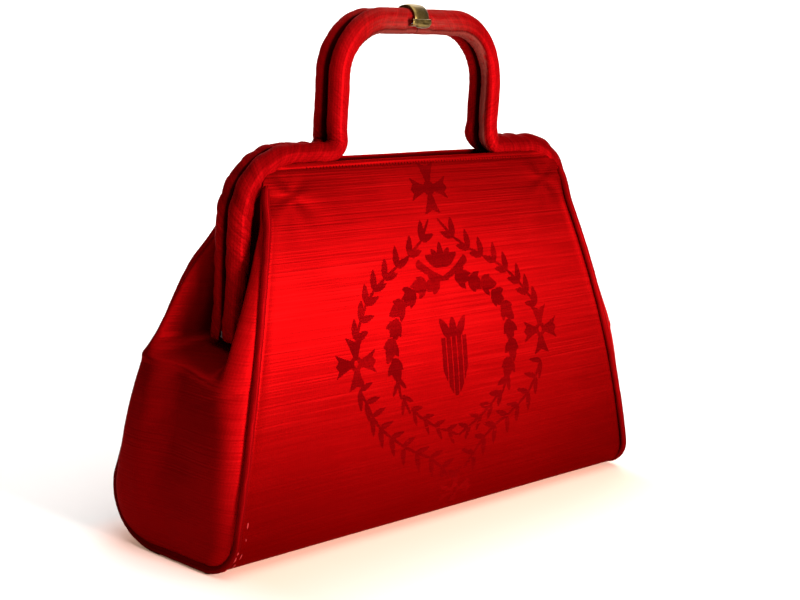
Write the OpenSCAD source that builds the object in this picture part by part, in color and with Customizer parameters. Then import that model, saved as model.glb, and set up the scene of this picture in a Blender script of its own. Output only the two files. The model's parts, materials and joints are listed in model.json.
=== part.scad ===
// Red silk frame handbag: a stiffened cloth body with folded end gussets, hung in a
// two-part steel frame that is padded, covered in the same silk and carried up into
// its own handle. Millimetres, Z up, X along the bag, the front towards -Y.

/* [Body] */
// Width of the base, seam to seam
base_w = 321; // [260:1:380]
// Width of the front outline at mouth height, before the shoulders round it off
mouth_w = 222; // [180:1:270]
// Depth of the body where its bottom corners begin
base_d = 92; // [75:1:130]
// Depth of the closed mouth over both outer faces
mouth_d = 19.6; // [18:0.2:26]
// Outward bow of each side seam, seen from the front
side_bow = 3.5; // [0:0.1:8]
// Outward bow of the front and back, seen from the end
front_bow = 6.2; // [0:0.1:10]
// Height at which the rounded bottom corner ends
corner_h = 18; // [12:0.5:40]
// Thickness of the outer cloth with its interlining
panel_t = 1.2; // [0.8:0.1:2.5]

/* [Stiffening and lining] */
// Thickness of the card boards
board_t = 1.4; // [1:0.1:3]
// How far the boards and the lining stand back from the seams
board_inset = 4; // [3:0.5:12]
// Thickness of the lining
lining_t = 0.8; // [0.6:0.1:1.5]

/* [Gussets] */
// Thickness of a gusset, cloth and lining together
gusset_t = 1.6; // [1:0.1:2.5]
// How far the crease across each gusset lies below the hinge
ridge_drop = 17; // [12:0.5:40]
// How far the gusset stands out past its seam at the crease
bulge = 10.5; // [3:0.5:14]
// Room from the middle of the hinge in to the gusset's inward fold
hinge_gap = 10.8; // [8:0.2:16]
// Depth of the inward fold at its top end
dent_top = 5; // [3:0.5:10]
// How fast the front and back fold edges draw back to the seam as they rise
wing_fall = 1.5; // [1:0.1:3]

/* [Piping] */
// Diameter of the covered cord in the end seams
piping_d = 3.4; // [2.5:0.1:6]

/* [Frame] */
// Diameter of the steel rod
rod_d = 6; // [4:0.1:7]
// Diameter over the padded cloth cover
cover_d = 10.6; // [9.5:0.1:14]
// Gap between the two covered bars when shut
bar_gap = 0.4; // [0.2:0.1:2]
// Distance between the handle legs, centre to centre
handle_w = 120; // [95:1:140]
// Height of the handle's top bar above the shoulder bar, centre to centre
handle_h = 67.5; // [50:0.5:90]
// Radius of the handle's top corners
handle_r = 32; // [15:0.5:40]
// Radius of the bend from shoulder into handle leg
elbow_r = 9; // [7:0.5:10]
// Radius of the shoulder bend
shoulder_r = 33; // [26:0.5:38]
// Height of the shoulder bar's centre
bar_z = 195.7; // [170:0.5:230]
// Distance of each arm from the middle
arm_x = 125.5; // [115:0.5:128]

/* [Hinge] */
// Height of the hinge axis
pivot_h = 109; // [104:0.5:120]
// Rivet diameter
pin_d = 3; // [2:0.1:4]
// Thickness of the flattened rod ends
lug_t = 2; // [1.5:0.1:2.5]
// Diameter of the flattened rod ends
lug_d = 9; // [8:0.5:12]
// Running clearance on the rivet, on the radius
pin_play = 0.1; // [0.05:0.01:0.2]

/* [Clasp] */
// Place of the clasp along the top bar, a little left of the middle
clasp_x = -5; // [-10:0.5:10]
// Width of the tongue
tongue_w = 11; // [8:0.5:14]
// Thickness of the tongue
tongue_t = 1.2; // [0.8:0.1:1.6]
// Length of the brass seat and of the catch along the bar
seat_l = 15; // [13:0.5:20]
// Diameter of the clasp's hinge pin
clasp_pin_d = 1.6; // [1.2:0.1:2]

/* [Hidden] */
$fn = 48;
fit = 0.15;
seat_gap = 0.3;
rod_r = rod_d / 2;
cover_r = cover_d / 2;
bar_y = cover_r + bar_gap / 2;
pin_r = pin_d / 2;
lug_r = lug_d / 2;
piping_r = piping_d / 2;
leg_x = handle_w / 2;
// Centre of the shoulder bend
sh_cx = arm_x - shoulder_r;
sh_cz = bar_z - shoulder_r;
// The cloth ends just below the round of the covered shoulder bar
lip_y = max(0, mouth_d / 2 - panel_t - bar_y);
body_h = bar_z - sqrt(cover_r * cover_r - lip_y * lip_y) - seat_gap;
window_r = body_h - sh_cz;
top_z = bar_z + handle_h;
hd_cz = top_z - handle_r;
elbow_x = leg_x + elbow_r;
rod_end_z = pivot_h + 10;
cover_end_z = pivot_h - 2;
red = [0.8, 0.02, 0.05];
dark_red = [0.45, 0.0, 0.03];
steel = [0.6, 0.6, 0.62];
brass = [0.8, 0.62, 0.25];
card = [0.6, 0.5, 0.38];

// Half width of the side seam at height z, without the rounded shoulder
function seam_x(z) = let (t = z / body_h)
    base_w / 2 + (mouth_w - base_w) / 2 * t + 4 * side_bow * t * (1 - t);
// Half width of the rounded shoulder at height z
function shoulder_x(z) = z < sh_cz ? base_w :
    sh_cx + sqrt(max(0, window_r * window_r - (z - sh_cz) * (z - sh_cz)));
function half_w(z) = min(seam_x(z), shoulder_x(z));

// Half depth of the front and back above the bottom corner, and its slope
function wall_y(z) = let (t = (z - corner_h) / (body_h - corner_h))
    base_d / 2 + (mouth_d - base_d) / 2 * t + 4 * front_bow * t * (1 - t);
function wall_slope(z) = let (l = body_h - corner_h, t = (z - corner_h) / l)
    ((mouth_d - base_d) / 2 + 4 * front_bow * (1 - 2 * t)) / l;
corner_a = atan(-wall_slope(corner_h));
corner_r = corner_h / (1 + sin(corner_a));
corner_y = base_d / 2 - corner_r * cos(corner_a);

// Stations of the end profile from the bottom up: [y, z, normal y, normal z]
corner_n = 8;
wall_n = 14;
corner_st = [for (i = [0 : corner_n - 1]) let (a = -90 + (90 + corner_a) * i / corner_n)
    [corner_y + corner_r * cos(a), corner_r + corner_r * sin(a), cos(a), sin(a)]];
wall_st = [for (i = [0 : wall_n]) let (z = corner_h + (body_h - corner_h) * i / wall_n,
    s = wall_slope(z), n = sqrt(1 + s * s)) [wall_y(z), z, 1 / n, -s / n]];
stations = concat(corner_st, wall_st);
function inset(p, d) = [p[0] - d * p[2], p[1] - d * p[3]];
function mirrored(p) = [-p[0], p[1]];
function turned(v) = [for (i = [len(v) - 1 : -1 : 0]) v[i]];
function right_line(d) = [for (p = stations) inset(p, d)];
function u_line(d) = concat(turned([for (p = right_line(d)) mirrored(p)]), right_line(d));

// A sheet that follows the end profile between two depths below the outer face
module u_sheet(d0, d1) {
    rotate([90, 0, 90])
        linear_extrude(height = base_w * 2, center = true)
            polygon(concat(u_line(d0), turned(u_line(d1))));
}

// A sheet that follows the front or back wall only
module wall_sheet(side, d0, d1) {
    outer = [for (p = wall_st) let (q = inset(p, d0)) [side * q[0], q[1]]];
    inner = [for (p = wall_st) let (q = inset(p, d1)) [side * q[0], q[1]]];
    rotate([90, 0, 90])
        linear_extrude(height = base_w * 2, center = true)
            polygon(concat(outer, turned(inner)));
}

// The front outline, stood back from the seam by d and ended at height top
module outline(d, bottom, top) {
    steps = 26;
    zs = [for (i = [0 : steps]) bottom + (top - bottom) * i / steps];
    rotate([90, 0, 0])
        linear_extrude(height = base_d * 2, center = true)
            polygon(concat([for (z = zs) [half_w(z) - d, z]],
                [for (z = turned(zs)) [-half_w(z) + d, z]]));
}

module body_panel() {
    color(red)
        intersection() {
            u_sheet(0, panel_t);
            outline(gusset_t + fit, 0, body_h);
        }
}

module front_board() {
    color(card)
        intersection() {
            wall_sheet(-1, panel_t + fit, panel_t + fit + board_t);
            outline(board_inset, corner_h, body_h - 4);
        }
}

module rear_board() {
    color(card)
        intersection() {
            wall_sheet(1, panel_t + fit, panel_t + fit + board_t);
            outline(board_inset, corner_h, body_h - 4);
        }
}

module base_board() {
    color(card)
        translate([0, 0, panel_t + fit + board_t / 2])
            cube([base_w - 4 * board_inset, corner_y * 2, board_t], center = true);
}

module lining() {
    lining_d = panel_t + board_t + 2 * fit;
    color(dark_red)
        intersection() {
            u_sheet(lining_d, lining_d + lining_t);
            outline(board_inset, 0, body_h - 1);
        }
}

// Gusset surface: share of the half depth s, -1 front to 1 back, and height z
gusset_top = sh_cz + shoulder_r * 0.46;
ridge_h = pivot_h - ridge_drop;
// Depth of the inward fold at the crease, so that it passes the hinge with room to spare
hinge_up = ridge_drop / (gusset_top - ridge_h);
dent = (seam_x(pivot_h) - arm_x + hinge_gap - dent_top * hinge_up) / (1 - hinge_up);
fine_z0 = ridge_h - 4;
fine_z1 = fine_z0 + 1.35 * ridge_drop;
gusset_zs = concat([for (i = [0 : 5]) corner_h + (fine_z0 - corner_h) * i / 6],
    [for (i = [0 : 8]) fine_z0 + (fine_z1 - fine_z0) * i / 8],
    [for (i = [1 : 8]) fine_z1 + (gusset_top - fine_z1) * i / 8]);
gusset_rows = concat([for (p = corner_st) [p[0], p[1]]], [for (z = gusset_zs) [wall_y(z), z]]);
// The fold edges draw in towards the seam as they rise
function edge_s(z) = 0.68 + 0.2 * up_share(z);
function fold_s(z) = 0.3 + 0.1 * up_share(z);
function smooth(t) = let (c = min(1, max(0, t))) c * c * (3 - 2 * c);
function ridge_share(z) = smooth((z - ridge_h) / (0.92 * ridge_drop));
function up_share(z) = min(1, max(0, (z - ridge_h) / (gusset_top - ridge_h)));
function low_out(s, z) = bulge * sin(90 * min(1, z / ridge_h)) * (1 - pow(abs(s), 6));
function high_out(s, z) = let (a = abs(s), e = edge_s(z), f = fold_s(z),
    w = bulge * pow(1 - up_share(z), wing_fall),
    v = dent + (dent_top - dent) * up_share(z))
    a > e ? w * smooth((1 - a) / (1 - e)) : w - (w + v) * smooth((e - a) / (e - f));
function gusset_x(s, z) = let (k = ridge_share(z))
    seam_x(z) + (1 - k) * low_out(s, z) + k * high_out(s, z);
cols = 30;

module gusset_sheet() {
    rows = len(gusset_rows);
    across = cols + 1;
    face = [for (r = gusset_rows) for (i = [0 : cols]) let (s = 2 * i / cols - 1)
        [gusset_x(s, r[1]), s * r[0], r[1]]];
    back = [for (p = face) [p[0] - gusset_t, p[1], p[2]]];
    m = len(face);
    skin = [for (j = [0 : rows - 2]) for (i = [0 : cols - 1]) let (a = j * across + i)
        for (t = [[a, a + 1, a + across + 1], [a, a + across + 1, a + across]]) t];
    front_rim = [for (j = [0 : rows - 2]) j * across];
    rear_rim = [for (j = [0 : rows - 2]) j * across + cols];
    faces = concat(
        [for (t = skin) [t[2], t[1], t[0]]],
        [for (t = skin) [t[0] + m, t[1] + m, t[2] + m]],
        [for (i = [0 : cols - 1]) for (t = [[i, i + 1, i + 1 + m], [i, i + 1 + m, i + m]])
            t],
        [for (i = [0 : cols - 1]) let (a = (rows - 1) * across + i)
            for (t = [[a, a + 1 + m, a + 1], [a, a + m, a + 1 + m]]) t],
        [for (a = front_rim) for (t = [[a, a + across + m, a + across],
            [a, a + m, a + across + m]]) t],
        [for (a = rear_rim) for (t = [[a, a + across, a + across + m],
            [a, a + across + m, a + m]]) t]);
    polyhedron(points = concat(face, back), faces = faces, convexity = 8);
}

module right_gusset() {
    color(dark_red) gusset_sheet();
}

module left_gusset() {
    color(dark_red) mirror([1, 0, 0]) gusset_sheet();
}

// Piping: a covered cord round the end seam, lifted clear of the surface it stands on
pipe_st = [for (p = stations) if (p[1] < gusset_top - 2) p];
pipe_half = concat(pipe_st, [[wall_y(gusset_top), gusset_top, 1, 0]]);
pipe_line = concat(turned([for (p = pipe_half) [-p[0], p[1], -p[2], p[3]]]), pipe_half);
pipe_sides = 10;

module piping_cord() {
    n = len(pipe_line);
    ring = [for (p = pipe_line) let (low = max(0, -p[3]),
        on = piping_r * (0.75 - 1.92 * low),
        ox = sqrt(pow(1.07 * piping_r, 2) - pow(max(0, on), 2)),
        c = [seam_x(p[1]) + ox, p[0] + on * p[2], p[1] + on * p[3]])
        for (k = [0 : pipe_sides - 1]) let (a = 360 * k / pipe_sides)
        [c[0] + piping_r * cos(a), c[1] + piping_r * sin(a) * p[2],
            c[2] + piping_r * sin(a) * p[3]]];
    side = [for (j = [0 : n - 2]) for (k = [0 : pipe_sides - 1])
        let (a = j * pipe_sides + k, b = j * pipe_sides + (k + 1) % pipe_sides)
        for (t = [[a, b, b + pipe_sides], [a, b + pipe_sides, a + pipe_sides]]) t];
    last = (n - 1) * pipe_sides;
    polyhedron(points = ring, faces = concat(side,
        [[for (k = [0 : pipe_sides - 1]) pipe_sides - 1 - k]],
        [[for (k = [0 : pipe_sides - 1]) last + k]]), convexity = 6);
}

module right_piping() {
    color(red) piping_cord();
}

module left_piping() {
    color(red) mirror([1, 0, 0]) piping_cord();
}

// Half of the frame's line, from the arm's end z0 to x0 on the handle's top bar
module bar_half(r, z0, x0) {
    translate([arm_x, 0, z0]) cylinder(h = sh_cz - z0, r = r);
    translate([sh_cx, 0, sh_cz])
        rotate([90, 0, 0])
            rotate_extrude(angle = 90) translate([shoulder_r, 0]) circle(r);
    translate([elbow_x, 0, bar_z])
        rotate([0, 90, 0]) cylinder(h = sh_cx - elbow_x, r = r);
    translate([elbow_x, 0, bar_z + elbow_r])
        rotate([90, 0, 0])
            rotate([0, 0, 180])
                rotate_extrude(angle = 90) translate([elbow_r, 0]) circle(r);
    translate([leg_x, 0, bar_z + elbow_r])
        cylinder(h = hd_cz - bar_z - elbow_r, r = r);
    translate([leg_x - handle_r, 0, hd_cz])
        rotate([90, 0, 0])
            rotate_extrude(angle = 90) translate([handle_r, 0]) circle(r);
    translate([x0, 0, top_z])
        rotate([0, 90, 0]) cylinder(h = leg_x - handle_r - x0, r = r);
}

// Flattened rod end that carries the rivet, side -1 front and 1 back
module lug(side) {
    x0 = side < 0 ? arm_x - lug_t - pin_play : arm_x + pin_play;
    neck_y = bar_y + rod_r * 0.8;
    translate([x0, 0, pivot_h])
        rotate([0, 90, 0]) cylinder(h = lug_t, r = lug_r);
    translate([x0, side < 0 ? -neck_y : 0.5, pivot_h])
        cube([lug_t, neck_y - 0.5, rod_end_z - pivot_h + 4]);
}

module pivot_bore() {
    translate([arm_x - 2 * lug_t, 0, pivot_h])
        rotate([0, 90, 0]) cylinder(h = 4 * lug_t, r = pin_r + pin_play);
}

module frame_half(side) {
    difference() {
        union() {
            translate([0, side * bar_y, 0]) bar_half(rod_r, rod_end_z, 0);
            lug(side);
        }
        pivot_bore();
    }
}

module frame_rod(side) {
    frame_half(side);
    mirror([1, 0, 0]) frame_half(side);
}

module front_frame() {
    color(steel) frame_rod(-1);
}

module rear_frame() {
    color(steel) frame_rod(1);
}

// Padded cover on half of one bar, open inside its lower end for the hinge
module cover_half(side, x0) {
    slot_x = lug_t + 2.2;
    slot_y = bar_y + rod_r + 0.2;
    neck_x0 = side < 0 ? arm_x - lug_t - 2 * pin_play - 0.2 : arm_x - 0.2;
    difference() {
        translate([0, side * bar_y, 0]) bar_half(cover_r, cover_end_z, x0);
        translate([0, side * bar_y, 0]) bar_half(rod_r + 0.1, rod_end_z - 6, x0 - 1);
        translate([arm_x - slot_x, side < 0 ? -slot_y : -3, cover_end_z - 1])
            cube([2 * slot_x, slot_y + 3, lug_r + 4]);
        translate([neck_x0, side < 0 ? -slot_y : -1, cover_end_z])
            cube([lug_t + 2 * pin_play + 0.4, slot_y + 1, rod_end_z - cover_end_z + 4.4]);
    }
}

module front_cover_right() {
    color(red) cover_half(-1, clasp_x + seat_l / 2 + fit);
}

module front_cover_left() {
    color(red) mirror([1, 0, 0]) cover_half(-1, seat_l / 2 - clasp_x + fit);
}

module rear_cover_right() {
    color(red) cover_half(1, clasp_x + seat_l / 2 + fit);
}

module rear_cover_left() {
    color(red) mirror([1, 0, 0]) cover_half(1, seat_l / 2 - clasp_x + fit);
}

// Rivet with a head on each side of the two flattened rod ends
module hinge_pin() {
    grip = lug_t + 3 * pin_play;
    translate([arm_x, 0, pivot_h])
        rotate([0, 90, 0]) {
            cylinder(h = 2 * grip, r = pin_r, center = true);
            translate([0, 0, grip - 0.05]) cylinder(h = 1, r = pin_r * 2);
            translate([0, 0, -grip - 0.95]) cylinder(h = 1, r = pin_r * 2);
        }
}

module right_hinge_pin() {
    color(steel) hinge_pin();
}

module left_hinge_pin() {
    color(steel) mirror([1, 0, 0]) hinge_pin();
}

// Clasp: a brass collar on the front bar carries a hinge, and its tongue arches over
// to lie on the brass collar of the back bar
seat_r = cover_r - 0.4;
tongue_in = cover_r + 0.1;
tongue_out = tongue_in + tongue_t;
knuckle_r = clasp_pin_d / 2 + 1;
knuckle_y = -bar_y - seat_r - knuckle_r - 0.6;
knuckle_z = top_z - 1.5;
knuckle_l = tongue_w * 0.5;
catch_top = top_z + tongue_in - seat_gap;

module collar(side) {
    translate([clasp_x, side * bar_y, top_z])
        rotate([0, 90, 0])
            difference() {
                cylinder(h = seat_l, r = seat_r, center = true);
                cylinder(h = seat_l + 2, r = rod_r + 0.05, center = true);
            }
}

module knuckle(x0, l) {
    translate([x0, knuckle_y, knuckle_z])
        rotate([0, 90, 0]) cylinder(h = l, r = knuckle_r);
}

module clasp_bore() {
    translate([clasp_x, knuckle_y, knuckle_z])
        rotate([0, 90, 0])
            cylinder(h = 3 * seat_l, r = clasp_pin_d / 2 + 0.05, center = true);
}

module clasp_seat() {
    end_l = (seat_l - knuckle_l) / 2 - fit;
    web_y = -bar_y - rod_r - 0.6;
    color(brass)
        difference() {
            union() {
                collar(-1);
                for (x0 = [clasp_x - seat_l / 2, clasp_x + seat_l / 2 - end_l]) {
                    knuckle(x0, end_l);
                    translate([x0, knuckle_y, knuckle_z - knuckle_r])
                        cube([end_l, web_y - knuckle_y, knuckle_r]);
                }
            }
            clasp_bore();
        }
}

module clasp_pin() {
    color(steel)
        translate([clasp_x, knuckle_y, knuckle_z])
            rotate([0, 90, 0])
                cylinder(h = seat_l + 0.6, r = clasp_pin_d / 2, center = true);
}

// The tongue: a knuckle, a strap bent round the front bar and a flat end
module strap(w, a) {
    translate([clasp_x - w / 2, -bar_y, top_z])
        rotate([90, 0, 90])
            linear_extrude(height = w)
                difference() {
                    circle(tongue_out);
                    circle(tongue_in);
                    translate([0, -2 * tongue_out]) square(4 * tongue_out);
                    translate([-2 * tongue_out, -2 * tongue_out])
                        square([4 * tongue_out, 2 * tongue_out]);
                    rotate(a) square(2 * tongue_out);
                }
}

module clasp_tongue() {
    reach = 2 * bar_y + 2.5;
    lip_y = -bar_y - tongue_in - 0.1;
    color(brass)
        difference() {
            union() {
                knuckle(clasp_x - knuckle_l / 2, knuckle_l);
                strap(tongue_w, 172);
                strap(knuckle_l, 180);
                translate([clasp_x - tongue_w / 2, -bar_y, top_z + tongue_in])
                    cube([tongue_w, reach, tongue_t]);
                translate([clasp_x - knuckle_l / 2, knuckle_y, knuckle_z + knuckle_r - tongue_t])
                    cube([knuckle_l, lip_y - knuckle_y, tongue_t]);
            }
            clasp_bore();
        }
}

module clasp_catch() {
    color(brass)
        difference() {
            union() {
                collar(1);
                translate([clasp_x - seat_l / 2, bar_y - seat_r * 0.6, top_z])
                    cube([seat_l, seat_r * 1.2, catch_top - top_z]);
            }
            translate([clasp_x, bar_y, top_z])
                rotate([0, 90, 0])
                    cylinder(h = seat_l + 2, r = rod_r + 0.05, center = true);
        }
}

body_panel();
front_board();
rear_board();
base_board();
lining();
left_gusset();
right_gusset();
left_piping();
right_piping();
front_frame();
rear_frame();
front_cover_left();
front_cover_right();
rear_cover_left();
rear_cover_right();
left_hinge_pin();
right_hinge_pin();
clasp_seat();
clasp_pin();
clasp_tongue();
clasp_catch();
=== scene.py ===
import json
import math
import bmesh
import bpy
import numpy as np
from mathutils import Matrix

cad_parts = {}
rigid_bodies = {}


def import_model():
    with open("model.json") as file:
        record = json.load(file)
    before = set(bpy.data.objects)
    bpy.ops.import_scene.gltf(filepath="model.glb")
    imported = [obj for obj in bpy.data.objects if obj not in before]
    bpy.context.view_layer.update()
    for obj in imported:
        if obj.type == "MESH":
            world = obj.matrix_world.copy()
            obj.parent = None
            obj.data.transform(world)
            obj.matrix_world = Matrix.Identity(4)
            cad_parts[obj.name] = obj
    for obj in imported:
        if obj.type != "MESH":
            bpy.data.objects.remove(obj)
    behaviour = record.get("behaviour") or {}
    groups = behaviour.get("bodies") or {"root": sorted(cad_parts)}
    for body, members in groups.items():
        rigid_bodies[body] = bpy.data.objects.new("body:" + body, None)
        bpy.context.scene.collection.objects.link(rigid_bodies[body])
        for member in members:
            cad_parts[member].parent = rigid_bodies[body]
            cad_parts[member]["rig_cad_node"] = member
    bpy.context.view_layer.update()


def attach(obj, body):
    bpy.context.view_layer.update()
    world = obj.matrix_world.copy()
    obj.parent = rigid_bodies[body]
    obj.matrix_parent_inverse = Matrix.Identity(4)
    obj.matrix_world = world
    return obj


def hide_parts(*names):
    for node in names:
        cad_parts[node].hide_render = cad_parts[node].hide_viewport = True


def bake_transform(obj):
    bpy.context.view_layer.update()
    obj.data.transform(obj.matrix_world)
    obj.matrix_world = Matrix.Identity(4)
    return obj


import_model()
MM = 0.001
OBJ = {o.get("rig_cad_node"): o for o in bpy.data.objects if "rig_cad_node" in o}

# ---- sizes shared with the CAD model, in millimetres --------------------------------
BASE_W, MOUTH_W, BASE_D, MOUTH_D = 321.0, 222.0, 92.0, 19.6
SIDE_BOW, FRONT_BOW, CORNER_H = 3.5, 6.2, 18.0
PANEL_T, BOARD_T, LINING_T, FIT = 1.2, 1.4, 0.8, 0.15
COVER_R, ROD_R, BAR_Y = 5.3, 3.0, 5.5
BAR_Z, ARM_X, SHOULDER_R, LEG_X = 195.7, 125.5, 33.0, 60.0
TOP_Z = BAR_Z + 67.5
PIVOT = 109.0
SH_CX, SH_CZ = ARM_X - SHOULDER_R, BAR_Z - SHOULDER_R
LIP_Y = MOUTH_D / 2 - PANEL_T - BAR_Y
BODY_H = BAR_Z - math.sqrt(COVER_R ** 2 - LIP_Y ** 2) - 0.3
GUSSET_TOP = SH_CZ + SHOULDER_R * 0.46 + 4
RIDGE, BULGE, DENT, DENT_TOP, WING_FALL = 92.0, 10.5, 28.0, 5.0, 1.5
PIPE_R = 2.0
END_X = 170.0  # past the end seams, where profile() gives the seams' own curve
SIDE_NAME = {-1: "left", 1: "right"}
HALF_NAME = {-1: "front", 1: "rear"}


def smooth(t):
    c = np.clip(t, 0, 1)
    return c * c * (3 - 2 * c)


def noise(x, y, seed):
    """Smooth value noise between -1 and 1, one cell per unit."""
    g = np.random.RandomState(seed).rand(64, 64) * 2 - 1
    x, y = np.broadcast_arrays(np.asarray(x, float), np.asarray(y, float))
    i, j = np.floor(x).astype(int), np.floor(y).astype(int)
    u, v = smooth(x - i), smooth(y - j)
    a, b = g[i % 64, j % 64], g[(i + 1) % 64, j % 64]
    c, d = g[i % 64, (j + 1) % 64], g[(i + 1) % 64, (j + 1) % 64]
    return (a * (1 - u) + b * u) * (1 - v) + (c * (1 - u) + d * u) * v


def run_length(pts):
    """Length along a row of points, from 0 at the first."""
    return np.concatenate([[0], np.cumsum(np.hypot(*np.diff(pts, axis=0).T))])


def headings(P):
    """Unit direction of a path at each of its points."""
    d = np.gradient(P, axis=0)
    return d / np.linalg.norm(d, axis=1)[:, None]


# ---- the body's outline and profile ---------------------------------------------------
def seam_x(z):
    t = np.asarray(z, float) / BODY_H
    flare = 2.6 * smooth((t * BODY_H - 160) / 18)
    return BASE_W / 2 + (MOUTH_W - BASE_W) / 2 * t + 4 * SIDE_BOW * t * (1 - t) + flare


def half_w(z):
    """Half width of the panels; their rounded top corners end under the covered bar."""
    z = np.asarray(z, float)
    up = np.clip(z - SH_CZ, 0, 31.4)
    round_x = SH_CX + np.sqrt(np.clip(31.5 ** 2 - up ** 2, 0, None))
    return np.where(z < SH_CZ, seam_x(z), np.minimum(seam_x(z), round_x))


def wall_y(z):
    t = (np.asarray(z, float) - CORNER_H) / (BODY_H - CORNER_H)
    return BASE_D / 2 + (MOUTH_D - BASE_D) / 2 * t + 4 * FRONT_BOW * t * (1 - t)


def wall_slope(z):
    run = BODY_H - CORNER_H
    t = (np.asarray(z, float) - CORNER_H) / run
    return ((MOUTH_D - BASE_D) / 2 + 4 * FRONT_BOW * (1 - 2 * t)) / run


CORNER_A = math.atan(-float(wall_slope(CORNER_H)))
CORNER_R = CORNER_H / (1 + math.sin(CORNER_A))
CORNER_Y = BASE_D / 2 - CORNER_R * math.cos(CORNER_A)

_ang = np.radians(np.linspace(-90, math.degrees(CORNER_A), 60))
_zz = np.linspace(CORNER_H, BODY_H, 300)[1:]
_sl = wall_slope(_zz)
_PY = np.concatenate([np.linspace(0, CORNER_Y, 20)[:-1], CORNER_Y + CORNER_R * np.cos(_ang), wall_y(_zz)])
_PZ = np.concatenate([np.zeros(19), CORNER_R + CORNER_R * np.sin(_ang), _zz])
_NY = np.concatenate([np.zeros(19), np.cos(_ang), 1 / np.sqrt(1 + _sl ** 2)])
_NZ = np.concatenate([-np.ones(19), np.sin(_ang), -_sl / np.sqrt(1 + _sl ** 2)])
_PL = run_length(np.stack([_PY, _PZ], -1))
LENGTH = float(_PL[-1])


# At the ends the seam draws the back's bottom corners up into a longer curve.
ROUND_H, ROUND_Y0, ROUND_TOP = 30.0, 7.0, 40.0
L_ROUND = float(np.interp(ROUND_TOP, _PZ[20:], _PL[20:]))
_ra = np.radians(np.linspace(-90, 0, 80))
_ry = np.concatenate([[0], ROUND_Y0 + (float(wall_y(ROUND_H)) - ROUND_Y0) * np.cos(_ra),
                      [float(wall_y(ROUND_TOP))]])
_rz = np.concatenate([[0], ROUND_H + ROUND_H * np.sin(_ra), [ROUND_TOP]])
_rl = run_length(np.stack([_ry, _rz], -1))
_RY = np.where(_PL < L_ROUND, np.interp(_PL / L_ROUND * _rl[-1], _rl, _ry), _PY)
_RZ = np.where(_PL < L_ROUND, np.interp(_PL / L_ROUND * _rl[-1], _rl, _rz), _PZ)
_dy, _dz = np.gradient(_RY), np.gradient(_RZ)
_RNY, _RNZ = _dz / np.hypot(_dy, _dz), -_dy / np.hypot(_dy, _dz)


def pinch(z):
    """How far the back's end seams are drawn in under the frame by the folded gussets."""
    z = np.asarray(z, float)
    return 8.5 * np.exp(-((z - 163) / 19) ** 2) * smooth((BODY_H - z) / 16)


def profile(v, x=0.0):
    """Point and outward normal (y, z, ny, nz) at length v from the bottom's middle; front is negative."""
    v, x = np.broadcast_arrays(np.asarray(v, float), np.asarray(x, float))
    a, s = np.abs(v), np.where(v < 0, -1.0, 1.0)
    y, z = np.interp(a, _PL, _PY), np.interp(a, _PL, _PZ)
    end = smooth((np.abs(x) - 112) / 42) * (s > 0)
    y = y + end * (np.interp(a, _PL, _RY) - y)
    ny = np.interp(a, _PL, _NY) * (1 - end) + end * np.interp(a, _PL, _RNY)
    nz = np.interp(a, _PL, _NZ) * (1 - end) + end * np.interp(a, _PL, _RNZ)
    k = np.hypot(ny, nz)
    back = smooth((np.abs(x) - seam_x(z) + 48) / 44) * (s > 0)
    y = y - back * pinch(z)
    z = z + end * (np.interp(a, _PL, _RZ) - z)
    return s * y, z, s * ny / k, nz / k


def length_at(z):
    """Length along the profile at height z on the wall."""
    return np.interp(z, _PZ[20:], _PL[20:])


def depth_y(z, back):
    """Half depth of the end outline at height z, at the back or at the front."""
    z = np.asarray(z, float)
    rear = np.where(z < ROUND_TOP, np.interp(z, _rz[1:], _ry[1:]), wall_y(z)) - pinch(z)
    return np.where(back, rear, np.interp(z, _PZ[19:], _PY[19:]))


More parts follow.
